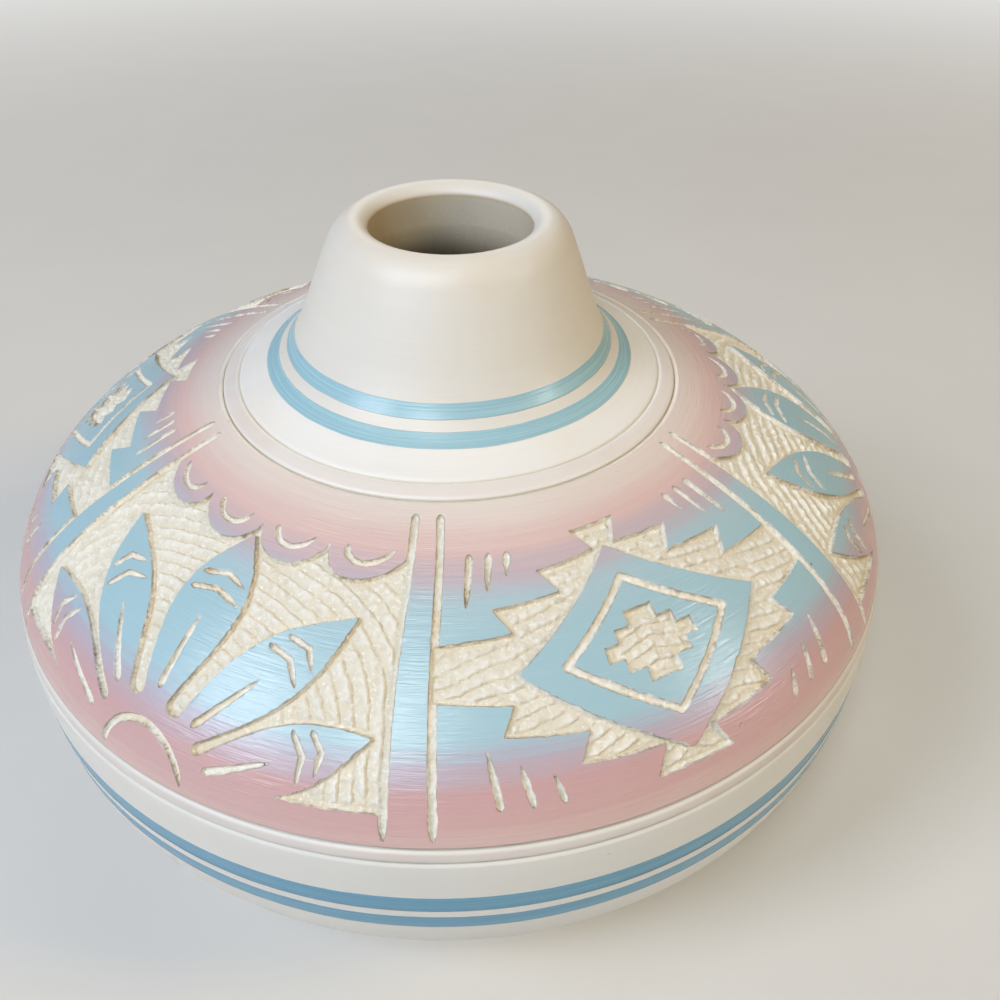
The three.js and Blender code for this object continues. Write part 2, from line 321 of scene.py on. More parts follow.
# Streaks that run round the pot, as the wheel and a wide brush leave them
streakGroup, given, taken = newGroup("turnedStreaks", {"Sweep": 0.0, "Per mm": 1.0, "Drift": 0.02},
                                     ["Streak"])
streakPlace = addNode(streakGroup, "VectorMath", {0: inMillimetres(streakGroup), 3: given["Drift"]},
                      operation="SCALE").outputs[0]
streakAlong = times(streakGroup, given["Sweep"], given["Per mm"])
streak = noise(streakGroup, streakPlace, 1.0, 3.0, 0.65, streakAlong)
streakGroup.links.new(streak, taken.inputs["Streak"])

# Grit of the clay: a fine grain, a few dark specks and pinholes
gritGroup, given, taken = newGroup("clayGrit", {"Grain size": 0.8, "Speck size": 9.0, "Speck share": 0.04},
                                   ["Grain", "Speck", "Pit"])
gritPlace = inMillimetres(gritGroup)
grainScale = sums(gritGroup, "DIVIDE", 1.0, given["Grain size"])
gritGroup.links.new(noise(gritGroup, gritPlace, grainScale, 4.0, 0.7), taken.inputs["Grain"])
speckScale = sums(gritGroup, "DIVIDE", 1.0, given["Speck size"])
speckCells = addNode(gritGroup, "TexVoronoi", {"Vector": gritPlace, "Scale": speckScale})
speckDice = addNode(gritGroup, "SeparateColor", {0: speckCells.outputs["Color"]})
chosen = sums(gritGroup, "LESS_THAN", speckDice.outputs[0], given["Speck share"])
pitShare = times(gritGroup, given["Speck share"], 2.5)
chosenPit = sums(gritGroup, "LESS_THAN", speckDice.outputs[1], pitShare)
speckWidth = scaled(gritGroup, speckDice.outputs[2], 0.035, 0.03)
speckNear = sums(gritGroup, "LESS_THAN", speckCells.outputs["Distance"], speckWidth)
gritGroup.links.new(times(gritGroup, speckNear, chosen), taken.inputs["Speck"])
pitNear = between(gritGroup, speckCells.outputs["Distance"], 0.06, 0.03)
gritGroup.links.new(times(gritGroup, pitNear, chosenPit), taken.inputs["Pit"])

# A painted ring between two sweeps, with the slight waver of a hand-held brush
ringGroup, given, taken = newGroup("paintedRing", {"Sweep": 0.0, "From": 0.0, "To": 1.0, "Waver": 0.3,
                                                   "Soft": 0.12}, ["Ring"])
waver = noise(ringGroup, inMillimetres(ringGroup), 0.035, 3.0, 0.6)
waver = times(ringGroup, sums(ringGroup, "SUBTRACT", waver, 0.5), times(ringGroup, given["Waver"], 4.0))
wavered = sums(ringGroup, "ADD", given["Sweep"], waver)


def ringEdge(at, before, after):
    low = sums(ringGroup, "SUBTRACT", given[at], given["Soft"])
    high = sums(ringGroup, "ADD", given[at], given["Soft"])
    inputs = {0: wavered, 1: low, 2: high, 3: before, 4: after}
    return addNode(ringGroup, "MapRange", inputs, clamp=True).outputs[0]


ring = times(ringGroup, ringEdge("From", 0.0, 1.0), ringEdge("To", 1.0, 0.0))
ringGroup.links.new(ring, taken.inputs["Ring"])

# Uneven patches: handling, thin slip and a little warm staining
patchGroup, given, taken = newGroup("softPatches", {"Size": 40.0, "Share": 0.5, "Blur": 0.1}, ["Patch"])
patchScale = sums(patchGroup, "DIVIDE", 1.0, given["Size"])
patchField = noise(patchGroup, inMillimetres(patchGroup), patchScale, 4.0, 0.6)
patchEdge = sums(patchGroup, "SUBTRACT", 1.0, given["Share"])
patchLow = sums(patchGroup, "SUBTRACT", patchEdge, given["Blur"])
patchHigh = sums(patchGroup, "ADD", patchEdge, given["Blur"])
patchGroup.links.new(between(patchGroup, patchField, patchLow, patchHigh), taken.inputs["Patch"])


def startMaterial(name):
    material = bpy.data.materials.new(name)
    material.use_nodes = True
    tree = material.node_tree
    shader = tree.nodes["Principled BSDF"]
    return material, tree, shader


def readSurface(tree, name):
    return addNode(tree, "Attribute", attribute_name=name, attribute_type="GEOMETRY").outputs["Fac"]


def bumped(tree, shader, layers):
    # bumps laid one on the other: (height from 0 to 1, how high in mm)
    normal = None
    for height, distance in layers:
        inputs = {"Height": height, "Distance": distance * mm}
        if normal is not None:
            inputs["Normal"] = normal
        normal = addNode(tree, "Bump", inputs).outputs["Normal"]
    tree.links.new(normal, shader.inputs["Normal"])


# Slip over a turned section: a base colour, painted rings, streaks, grit and patches
def streaks(tree, sweep, perMm, drift):
    return useGroup(tree, streakGroup, {"Sweep": sweep, "Per mm": perMm, "Drift": drift})["Streak"]


def ringed(tree, sweep, start, end, waver, soft):
    inputs = {"Sweep": sweep, "From": start, "To": end, "Waver": waver, "Soft": soft}
    return useGroup(tree, ringGroup, inputs)["Ring"]


# a thin dark tint in the bottom of a turned groove: partly dirt, partly painted shade
def dirtAndShadeRing(tree, sweep, at):
    return ringed(tree, sweep, at - 0.18, at + 0.18, 0.03, 0.16)


def slipMaterial(name, looks):
    material, tree, shader = startMaterial(name)
    sweep = readSurface(tree, "sweep")
    bare = readSurface(tree, "bare")
    clayShare = times(tree, bare, 1.0, clamp=True)
    insideShare = sums(tree, "SUBTRACT", bare, 1.0, clamp=True)
    fine = streaks(tree, sweep, 2.6, 0.02)
    broad = streaks(tree, sweep, 0.22, 0.006)
    grit = useGroup(tree, gritGroup, {"Grain size": looks["grainSize"], "Speck size": looks["speckSize"],
                                      "Speck share": looks["speckShare"]})
    patch = useGroup(tree, patchGroup, {"Size": 34.0, "Share": 0.42, "Blur": 0.14})["Patch"]
    # a whiter band at the collar's foot below the rings: partly a whiter slip, partly painted light where the
    # collar turns to face up
    paleAndLitShare = between(tree, sweep, *looks["paleAndLitFrom"])
    base = tinted(tree, paleAndLitShare, written(*looks["colour"]), looks["paleColour"])
    base = tinted(tree, times(tree, between(tree, fine, 0.3, 0.7), 0.16), base, looks["streakColour"])
    base = tinted(tree, times(tree, patch, looks["patchAmount"]), base, looks["patchColour"])
    base = tinted(tree, times(tree, between(tree, broad, 0.35, 0.75), 0.1), base, looks["paleColour"])
    painted = 0.0
    for start, end in looks["rings"]:
        painted = sums(tree, "MAXIMUM", painted, ringed(tree, sweep, start, end, 0.22, 0.1))
    if looks["rings"]:
        blue = tinted(tree, between(tree, fine, 0.32, 0.68), written(*looks["ringColour"]), looks["ringPale"])
        base = mixed(tree, painted, base, blue)
    for start, end in looks["washes"]:
        wash = ringed(tree, sweep, start, end, 0.1, 0.4)
        wash = times(tree, wash, scaled(tree, patch, 0.3, 0.45))
        base = tinted(tree, wash, base, looks["washColour"])
    # the turned grooves get their dark tint of dirt and painted shade
    grooveDirtAndShade = 0.0
    for at in looks["dirtAndShadeLines"]:
        grooveDirtAndShade = sums(tree, "MAXIMUM", grooveDirtAndShade, dirtAndShadeRing(tree, sweep, at))
    if looks["dirtAndShadeLines"]:
        grooveDirtAndShade = times(tree, grooveDirtAndShade, scaled(tree, patch, 0.25, 0.5))
        base = tinted(tree, grooveDirtAndShade, base, looks["dirtAndShadeColour"])
    clay = mixed(tree, grit["Grain"], written(*looks["bareDark"]), written(*looks["bareColour"]))
    # painted shade inside the pot: the clay of the inside turns darker further down, below the mouth
    height = addNode(tree, "SeparateXYZ", {0: inMillimetres(tree)}).outputs["Z"]
    rubbed = scaled(tree, grit["Grain"], 0.3, -0.15)
    outOfShade = sums(tree, "ADD", between(tree, height, *looks["insideShadeFade"]), rubbed, clamp=True)
    shadedHollowClay = tinted(tree, outOfShade, written(*looks["insideDeepShade"]), looks["insideColour"])
    base = mixed(tree, clayShare, base, mixed(tree, insideShare, clay, shadedHollowClay))
    base = tinted(tree, times(tree, grit["Speck"], 0.8), base, looks["speckColour"])
    tree.links.new(base, shader.inputs["Base Color"])
    rough = scaled(tree, fine, 0.2, looks["roughness"] - 0.1)
    rough = scaled(tree, painted, -0.16, rough)
    rough = scaled(tree, clayShare, 0.35, rough, clamp=True)
    tree.links.new(rough, shader.inputs["Roughness"])
    shader.inputs["Specular IOR Level"].default_value = looks["gloss"]
    hollow = sums(tree, "SUBTRACT", 1.0, grit["Pit"])
    brushed = scaled(tree, painted, 0.55, 0.45)
    brushed = times(tree, fine, brushed)
    wrinkle = streaks(tree, sweep, 1.3, 0.09)
    wrinkled = times(tree, wrinkle, painted)
    bumped(tree, shader, [(brushed, 0.05), (broad, 0.1), (wrinkled, 0.12),
                          (grit["Grain"], looks["grainHeight"]), (hollow, 0.2), (painted, 0.05)])
    return material


slipLooks = {
    "colour": (224, 221, 214), "paleColour": (238, 237, 234), "streakColour": (221, 216, 206),
    "patchColour": (223, 208, 182), "patchAmount": 0.2, "paleAndLitFrom": (-20.0, -12.0),
    "ringColour": (149, 190, 205), "ringPale": (164, 202, 213), "rings": [],
    "washes": [], "washColour": (222, 209, 203), "dirtAndShadeLines": [], "dirtAndShadeColour": (178, 165, 130),
    "bareColour": (214, 198, 166), "bareDark": (190, 170, 134), "speckColour": (92, 74, 56),
    "insideColour": (204, 197, 180), "insideDeepShade": (106, 91, 66), "insideShadeFade": (142.0, 163.0),
    "roughness": 0.42, "gloss": 0.42, "grainSize": 0.9, "grainHeight": 0.015,
    "speckSize": 11.0, "speckShare": 0.08,
}
collarMaterial = slipMaterial("collarSlip", {
    **slipLooks, "rings": [(-17.9, -13.7), (-24.8, -20.9)], "dirtAndShadeLines": [-4.9, -0.1],
    "washes": [(-4.2, -0.7)],
})
rimMaterial = slipMaterial("rimSlip", {**slipLooks, "patchAmount": 0.3})
# the bowl's slip and stripes are a little darker than the collar's: partly their own colour, partly painted
# shade of the lower body
bowlMaterial = slipMaterial("bowlSlip", {
    **slipLooks, "colour": (220, 218, 213), "paleColour": (224, 223, 218), "patchAmount": 0.22,
    "patchColour": (206, 199, 186), "roughness": 0.38,
    "ringColour": (92, 150, 181), "ringPale": (108, 163, 190), "washColour": (206, 192, 187),
    "dirtAndShadeColour": (126, 114, 98), "washes": [(bellySeamSweep + 0.9, bellySeamSweep + 3.2)],
    "dirtAndShadeLines": [bellySeamSweep + 0.1, bellySeamSweep + 3.9, bellySeamSweep + 21.75],
    "rings": [(bellySeamSweep + 16.2, bellySeamSweep + 21.8), (bellySeamSweep + 24.4, bellySeamSweep + 29.4)],
})
footMaterial = slipMaterial("bareClay", {**slipLooks, "roughness": 0.5, "gloss": 0.3, "grainHeight": 0.09})
print("slips mixed")


# Foot ring: plain bare clay, its edges eased by a wet sponge
foot = {"outer": 60.0, "inner": 50.0, "ease": 1.0, "easeSegments": 3, "sweepBelow": 6.0, "steps": 192}


def makeFoot():
    topRadius, topHeight = form["footEdge"]
    corners = [(foot["inner"], 0), (foot["outer"], 0), (topRadius, topHeight), (foot["inner"], topHeight)]
    bm = turnSection([(r, z, footSweep + foot["sweepBelow"], bareClay) for r, z in corners], foot["steps"])
    low = [edge for edge in bm.edges if all(vert.co.z < 0.1 * mm for vert in edge.verts)
           and abs(edge.verts[0].co.xy.length - edge.verts[1].co.xy.length) < 0.1 * mm]
    bmesh.ops.bevel(bm, geom=low, offset=foot["ease"] * mm, affect="EDGES",
                    segments=foot["easeSegments"], profile=0.5, material=-1)
    return finishPiece(bm, "foot_ring_clay", ["foot_ring"], footMaterial)


# Lower bowl: cream slip with two blue stripes, bare inside and underneath
bowl = {
    "outsideStep": 2.6, "insideStep": 7.0, "steps": 240, "undersideTo": 58.0, "undersideRings": 7,
    "floorCorner": 4.0, "floorShares": (0.9, 0.75, 0.5, 0.25, 0.0), "cornerPower": 6,
    "floorMiddleSweep": 70.0, "floorSweepRun": 60.0,
}


def makeBowl():
    edgeRadius, edgeHeight = form["footEdge"]
    radii = np.linspace(0, bowl["undersideTo"], bowl["undersideRings"])
    underside = [(r, edgeHeight, footSweep + edgeRadius - r, bareClay) for r in radii]
    outside = outsideRun(footSweep, bellySeamSweep, bowl["outsideStep"])
    floorSweep = sweepAt(form["floorTop"] + bowl["floorCorner"], form["wall"])
    innerSeam = sweepAt(form["bellySeam"], form["wall"])
    count = math.ceil((floorSweep - innerSeam) / bowl["insideStep"]) + 1
    sweeps = np.linspace(innerSeam, floorSweep, count)
    inside = [(*map(float, onOutside(s, form["wall"])), s, insideClay) for s in sweeps]
    inside[0] = (inside[0][0], form["bellySeam"], inside[0][2], insideClay)
    edge = inside[-1][0]
    floor = []
    for share in bowl["floorShares"]:
        height = form["floorTop"] + bowl["floorCorner"] * share ** bowl["cornerPower"]
        sweep = footSweep + bowl["floorMiddleSweep"] - bowl["floorSweepRun"] * share
        floor.append((edge * share, height, sweep, insideClay))
    bm = turnSection(underside + outside + inside + floor, bowl["steps"], closed=False)
    return finishPiece(bm, "lower_bowl_slip", ["lower_bowl"], bowlMaterial)


# Neck collar: ivory slip with two blue rings round its foot
collar = {"outsideStep": 1.6, "boreSteps": 14, "steps": 224, "hiddenSweep": -30.0}


def makeCollar():
    edge = form["collar"][0] - form["jointGap"]
    seat = [(*form["gallery"], collar["hiddenSweep"], bareClay), (edge, form["gallery"][1], -1.0, bareClay)]
    outside = outsideRun(0.0, rimSeamSweep, collar["outsideStep"])
    outside[0] = (edge, *outside[0][1:])
    outside[-1] = (outside[-1][0], form["rimSeam"], *outside[-1][2:])
    picks = np.linspace(len(boreCurve) - 1, 0, collar["boreSteps"]).astype(int)
    boreSweep = rimSeamSweep + collar["hiddenSweep"]
    bore = [(float(boreCurve[i][0]), float(boreCurve[i][1]), boreSweep, insideClay) for i in picks[:-1]]
    bm = turnSection(seat + outside + bore, collar["steps"])
    return finishPiece(bm, "neck_collar_slip", ["neck_collar"], collarMaterial)


# Rim: the thick rounded lip
rim = {"step": 0.45, "insideFrom": 8.7, "fade": 0.9, "steps": 192}


def makeRim():
    mouthSweep = curve["sweep"][0]
    around = outsideRun(rimSeamSweep, mouthSweep, rim["step"])
    around[0] = (around[0][0], form["rimSeam"], *around[0][2:])
    shaped = []
    for radius, height, sweep, bare in around:
        inside = np.clip((mouthSweep + rim["insideFrom"] - sweep) / rim["fade"], 0, 1)
        shaped.append((radius, height, sweep, insideClay * float(inside)))
    bm = turnSection(shaped, rim["steps"])
    return finishPiece(bm, "rim_ring_slip", ["rim_ring"], rimMaterial)


makeFoot()
makeBowl()
makeCollar()
makeRim()
print("turned sections spun")


# The carved band: six panels, a stepped diamond and a feather fan by turns, with a bar between them
band = {
    "top": 12.0, "bottom": bellySeamSweep - 8.1, "panels": 6, "firstPanel": -92.0, "barHalf": 2.1,
    "barLineAt": 27.6, "barLineFrom": 3.5, "barLineTo": bellySeamSweep - 2.1, "barLineWidths": (1.9, 2.1),
}
panelWidth = 360 / band["panels"]
panelHalf = panelWidth / 2 - band["barHalf"]
diamond = {
    "half": 17.5, "topGap": 6.0, "bottomGap": 3.5, "ringShare": 0.66, "ringWidths": (1.9, 1.9),
    "crossSteps": ((2.2, 8.2), (4.4, 4.9), (6.4, 1.9)),
    "teethStart": 4.75, "teethReach": 23.0, "teeth": 3, "toothDepth": 7.0, "overlap": 1.0,
    "upperSlashes": ((16.3, 20.0), (19.5, 23.6), (22.7, 27.0)),
    "lowerSlashes": ((14.6, 63.0), (17.8, 60.0), (21.0, 57.0)), "upperStart": 2.0, "lowerStart": 0.5,
    "slashLean": 0.9, "slashWidths": (1.9, 1.2),
}
fan = {
    "rootDrop": 7.0, "hubRadius": 17.0, "hubEase": 2.4, "hubLineRadius": 12.0, "hubLineWidths": (1.9, 1.9),
    "leans": (-66, -36, 0, 36, 66), "lengths": (55, 58, 59, 58, 55), "widths": (15, 16, 17.5, 16, 15),
    "swell": 1.7, "steps": 20, "chevrons": (0.72, 0.79), "chevronReach": 0.84, "chevronDrop": 0.035,
    "chevronWidths": (1.5, 1.5), "quill": (0.34, 0.64), "quillWidths": (2.1, 1.1),
    "clouds": 4, "cloudRadius": 9.4, "cloudPitch": 18.2, "cloudOverlap": 1.0,
    "cloudLineRadius": 5.4, "cloudLineWidths": (1.6, 1.6),
}
fanRoot = band["bottom"] + fan["rootDrop"]


def degreeAt(sweep):
    # millimetres round the pot for one degree
    return math.radians(1) * onOutside(sweep)[0]


def onPot(x, sweep):
    # degrees and sweep of a point that is x mm to the right of the panel's middle
    return (x / degreeAt(sweep), sweep)


def arcLine(x, sweep, radius, start, end, count=14):
    turns = [math.radians(start + (end - start) * step / count) for step in range(count + 1)]
    return [onPot(x + radius * math.cos(turn), sweep + radius * math.sin(turn)) for turn in turns]


def onFeather(lean, distance, aside=0.0):
    # a place on a feather: its distance from the root, and mm to the right of the quill
    c, s = math.cos(math.radians(lean)), math.sin(math.radians(lean))
    return onPot(distance * s + aside * c, fanRoot - distance * c + aside * s)


def featherHalf(width, share):
    return width / 2 * math.sin(math.pi * share ** fan["swell"])


def feather(lean, length, width):
    shares = [step / fan["steps"] for step in range(fan["steps"] + 1)]
    right = [onFeather(lean, share * length, featherHalf(width, share)) for share in shares]
    left = [onFeather(lean, share * length, -featherHalf(width, share)) for share in shares[1:-1]]
    return right + left[::-1]


def wholePanel():
    top, bottom = band["top"], band["bottom"]
    return ("cut", [(-panelHalf, top), (panelHalf, top), (panelHalf, bottom), (-panelHalf, bottom)])


def steppedCross(centre):
    steps = diamond["crossSteps"]
    corner = [steps[0]]
    for (half, rise), (nextHalf, nextRise) in zip(steps, steps[1:]):
        corner += [(half, nextRise), (nextHalf, nextRise)]
    right = [(half, centre - rise) for half, rise in corner]
    right += [(half, centre + rise) for half, rise in reversed(corner)]
    return right + [(-half, sweep) for half, sweep in reversed(right)]


def toothedCorner(side, down):
    # a corner of the panel with saw teeth along its slope: side is 1 on the right, down is 1 at the top
    level = band["top"] if down > 0 else band["bottom"]
    start = (side * diamond["teethStart"], level)
    end = (side * panelHalf, level + down * diamond["teethReach"])
    perDegree = degreeAt((start[1] + end[1]) / 2)
    across, along = (end[0] - start[0]) * perDegree, end[1] - start[1]
    stand = diamond["toothDepth"] / math.hypot(across, along)
    beyond = level - down * diamond["overlap"]
    outline = [(side * panelWidth / 2, beyond), (start[0], beyond)]
    for tooth in range(diamond["teeth"]):
        share = tooth / diamond["teeth"]
        angle, sweep = (start[axis] + (end[axis] - start[axis]) * share for axis in (0, 1))
        tip = (angle - side * stand * abs(along) / perDegree, sweep + down * stand * abs(across))
        outline += [(angle, sweep), tip]
    return outline + [end, (side * panelWidth / 2, end[1])]


def diamondPanel():
    top, bottom = band["top"] + diamond["topGap"], band["bottom"] - diamond["bottomGap"]
    centre, rise, half = (top + bottom) / 2, (bottom - top) / 2, diamond["half"]
    steps = [wholePanel(), ("keep", [(0, top), (half, centre), (0, bottom), (-half, centre)])]
    steps += [("keep", toothedCorner(side, down)) for side, down in product((-1, 1), repeat=2)]
    steps.append(("cut", steppedCross(centre)))
    ringHalf, ringRise = half * diamond["ringShare"], rise * diamond["ringShare"]
    ring = [(0, centre - ringRise), (ringHalf, centre), (0, centre + ringRise), (-ringHalf, centre)]
    ring.append(ring[0])
    steps.append(("line", ring, diamond["ringWidths"]))
    for side in (-1, 1):
        for at, end in diamond["upperSlashes"]:
            start = band["top"] + diamond["upperStart"]
            line = [(side * at, start), (side * (at + diamond["slashLean"]), end)]
            steps.append(("line", line, diamond["slashWidths"]))
        for at, end in diamond["lowerSlashes"]:
            start = band["bottom"] - diamond["lowerStart"]
            line = [(side * at, start), (side * (at + diamond["slashLean"]), end)]
            steps.append(("line", line, diamond["slashWidths"]))
    return steps


def fanPanel():
    top = band["top"]
    feathers = list(zip(fan["leans"], fan["lengths"], fan["widths"]))
    steps = [wholePanel()] + [("keep", feather(*each)) for each in feathers]
    steps.append(("blend", arcLine(0, fanRoot, fan["hubRadius"], 180, 360)))
    for lean, length, width in feathers:
        for share in fan["chevrons"]:
            aside = featherHalf(width, share) * fan["chevronReach"]
            middle = onFeather(lean, (share + fan["chevronDrop"]) * length)
            line = [onFeather(lean, share * length, -aside), middle, onFeather(lean, share * length, aside)]
            steps.append(("line", line, fan["chevronWidths"]))
        quill = [onFeather(lean, share * length) for share in fan["quill"]]
        steps.append(("line", quill, fan["quillWidths"]))
    steps.append(("line", arcLine(0, fanRoot, fan["hubLineRadius"], 188, 352), fan["hubLineWidths"]))
    for index in range(fan["clouds"]):
        x, radius = (index - (fan["clouds"] - 1) / 2) * fan["cloudPitch"], fan["cloudRadius"]
        above = top - fan["cloudOverlap"]
        cloud = [onPot(x - radius, above), *arcLine(x, top, radius, 180, 0), onPot(x + radius, above)]
        steps.append(("keep", cloud))
        steps.append(("line", arcLine(x, top, fan["cloudLineRadius"], 165, 15), fan["cloudLineWidths"]))
    return steps


def bars():
    line = ((side * band["barLineAt"], band["barLineFrom"], band["barLineTo"]) for side in (-1, 1))
    return [("line", [(at, start), (at, end)], band["barLineWidths"]) for at, start, end in line]


def nearestOn(x, sweep, perDegree, start, end):
    # mm to a straight run and the share of the way along it
    x0, dx, ds = start[0] * perDegree, (end[0] - start[0]) * perDegree, end[1] - start[1]
    aside, down = x * perDegree - x0, sweep - start[1]
    share = np.clip((aside * dx + down * ds) / (dx * dx + ds * ds + 1e-9), 0, 1)
    return np.hypot(aside - share * dx, down - share * ds), share


def shapeDistance(x, sweep, perDegree, points):
    # mm to the outline of a drawn shape, negative inside it
    distance = np.full(x.shape, 1e6)
    inside = np.zeros(x.shape, bool)
    for start, end in zip(points, points[1:] + points[:1]):
        distance = np.minimum(distance, nearestOn(x, sweep, perDegree, start, end)[0])
        if start[1] != end[1]:
            crossing = (end[0] - start[0]) * (sweep - start[1]) / (end[1] - start[1]) + start[0]
            inside ^= ((start[1] > sweep) != (end[1] > sweep)) & (x < crossing)
    return np.where(inside, -distance, distance)


def lineDistance(x, sweep, perDegree, points, widths):
    # mm to the side of an incised line that tapers from one width to another and is pointed where it ends
    distance = np.full(x.shape, 1e6)
    runs = len(points) - 1
    length = sum(math.hypot((b[0] - a[0]) * degreeAt((a[1] + b[1]) / 2), b[1] - a[1])
                 for a, b in zip(points, points[1:]))
    for run in range(runs):
        away, share = nearestOn(x, sweep, perDegree, points[run], points[run + 1])
        along = (run + share) / runs
        width = widths[0] + (widths[1] - widths[0]) * along
        if points[0] != points[-1]:
            fromEnd = np.minimum(along / cutting["enter"], (1 - along) / cutting["leave"]) * length
            width = width * np.sqrt(np.clip(fromEnd, 0, 1))
        distance = np.minimum(distance, away - width / 2)
    return distance


def roundedMaximum(first, second, ease):
    # the higher of two, eased over where they cross
    near = np.clip(1 - np.abs(first - second) / ease, 0, 1)
    return np.maximum(first, second) + near * near * ease / 4


def readPattern(angle, sweep):
    # mm to the cut ground and to the incised lines, positive on the painted skin, and the comb's phase
    turned = (angle - band["firstPanel"]) % 360
    panel = np.floor(turned / panelWidth).astype(int)
    local = turned - (panel + 0.5) * panelWidth
    perDegree = degreeAt(sweep)
    ground = np.full(angle.shape, 9.0)
    stroke = np.full(angle.shape, 9.0)
    for kind, steps in enumerate((diamondPanel() + bars(), fanPanel() + bars())):
        here = panel % 2 == kind
        if not here.any():
            continue
        x, s, k = local[here], sweep[here], perDegree[here]
        cutField, lineField = np.full(x.shape, 9.0), np.full(x.shape, 9.0)
        for step, *shape in steps:
            if step == "cut":
                cutField = np.minimum(cutField, shapeDistance(x, s, k, *shape))
            elif step == "keep":
                cutField = np.maximum(cutField, -shapeDistance(x, s, k, *shape))
            elif step == "blend":
                cutField = roundedMaximum(cutField, -shapeDistance(x, s, k, *shape), fan["hubEase"])
            else:
                lineField = np.minimum(lineField, lineDistance(x, s, k, *shape))
        ground[here], stroke[here] = cutField, lineField
    aside = local * perDegree
    tilted = (sweep - comb["tilt"] * np.abs(aside)) / comb["pitch"]
    arched = np.hypot(aside, sweep - fanRoot) / comb["pitch"]
    return ground, stroke, np.where(panel % 2 == 0, tilted, arched)


# The carved shoulder, a sector for each panel; neighbours meet in the middle of an incised line
shoulder = {
    "rows": 380, "columns": 232, "insideStep": 7.5, "seamAt": 2.4, "sharpAngle": 50.0,
    "insideSweep": 60.0, "insideEdge": -2.0, "insideRelief": 1.0,
}
cutting = {
    "groundDepth": 1.3, "wallRun": 0.4, "lineDepth": 0.85, "lineRun": 0.42, "enter": 1.2, "leave": 3.6,
    "warp": 0.55, "warpSize": 26.0, "scallop": 0.22, "scallopSize": 1.7, "chip": 0.15, "chipSize": 0.8,
    "lineRagged": 0.75, "snap": 0.19,
}
comb = {"pitch": 2.9, "tilt": 0.3, "height": 0.7, "fall": 0.18, "score": 0.18, "channel": 0.7, "crumb": 0.3,
        "hollow": 1.5}


def smooth(share):
    share = np.clip(share, 0, 1)
    return share * share * (3 - 2 * share)


def carve(angle, sweep):
    # where each point of the sheet goes: degrees, sweep, depth, and its distance to the painted skin's edge
    r, z = onOutside(sweep)
    turn = np.radians(angle)
    x, y = r * np.cos(turn), r * np.sin(turn)

    def rough(size, seed):
        return spaceNoise(x, y, z, size, seed)

    perDegree = degreeAt(sweep)
    warpedAngle = angle + cutting["warp"] * rough(cutting["warpSize"], 1) / perDegree
    warpedSweep = sweep + cutting["warp"] * rough(cutting["warpSize"], 2)
    ground, stroke, phase = readPattern(warpedAngle, warpedSweep)
    ragged = np.clip(0.5 + 1.1 * rough(17.0, 3), 0.06, 1.3)
    scallops = 0.6 - 2 * np.abs(rough(cutting["scallopSize"], 4))
    chips = cutting["scallop"] * scallops + cutting["chip"] * rough(cutting["chipSize"], 5)
    edge = np.minimum(ground + ragged * chips, stroke + cutting["lineRagged"] * ragged * chips)

    # the points next to an edge slide onto it, so that it is cut clean through the sheet
    rowStep = np.gradient(angle[:, 0])[0] * perDegree
    slopeAround = np.gradient(edge, axis=0) / rowStep
    slopeDown = np.gradient(edge, axis=1) / np.gradient(sweep, axis=1)
    steep = slopeAround ** 2 + slopeDown ** 2 + 0.05
    near = (np.abs(edge) < cutting["snap"]) & (sweep > 1.5) & (sweep < bellySeamSweep - 1.5)
    moveAround = np.where(near, -edge * slopeAround / steep, 0.0)
    moveDown = np.where(near, -edge * slopeDown / steep, 0.0)
    moveAround[[0, -1]] = 0.0
    angle = angle + np.clip(moveAround, -0.2, 0.2) / perDegree
    sweep = sweep + np.clip(moveDown, -0.18, 0.18)
    edge = np.where(near, 0.0, edge)

    # comb marks: each pass of the tool leaves a shallow scoop that ends in a small broken step
    phase = phase + 0.34 * rough(11.0, 6) + 0.08 * rough(2.6, 7) + 0.06 * rough(1.2, 15)
    along = phase - np.floor(phase)
    rising = 1 - comb["fall"]
    ridge = np.where(along < rising, (along / rising) ** comb["hollow"], (1 - along) / comb["fall"])
    crumbs = rough(1.15, 8)
    inset = -np.maximum(ground, edge)
    combed = smooth((inset - comb["channel"] - 0.8 * rough(5.0, 9)) / 1.0)
    height = comb["height"] * ridge * (0.85 + 0.3 * crumbs + 0.3 * rough(6.0, 10))
    height = height + comb["crumb"] * crumbs * (0.3 + ridge)
    score = comb["score"] * np.clip(1 - np.minimum(along, 1 - along) / (0.1 + 0.06 * rough(3.0, 16)), 0, 1)
    deep = cutting["groundDepth"] + 0.12 * rough(9.0, 11) + combed * (score - height) + 0.04 * rough(0.8, 12)
    wall = smooth(inset / (cutting["wallRun"] * (1 + 0.5 * rough(4.0, 13))))
    line = smooth(-np.maximum(stroke, edge) / cutting["lineRun"])
    lineDeep = cutting["lineDepth"] * line * (1 + 0.3 * rough(1.4, 14) + 0.12 * rough(0.8, 17))
    depth = np.maximum(np.maximum(deep * wall, lineDeep), lineDepth(sweep))
    return angle, sweep, depth, edge


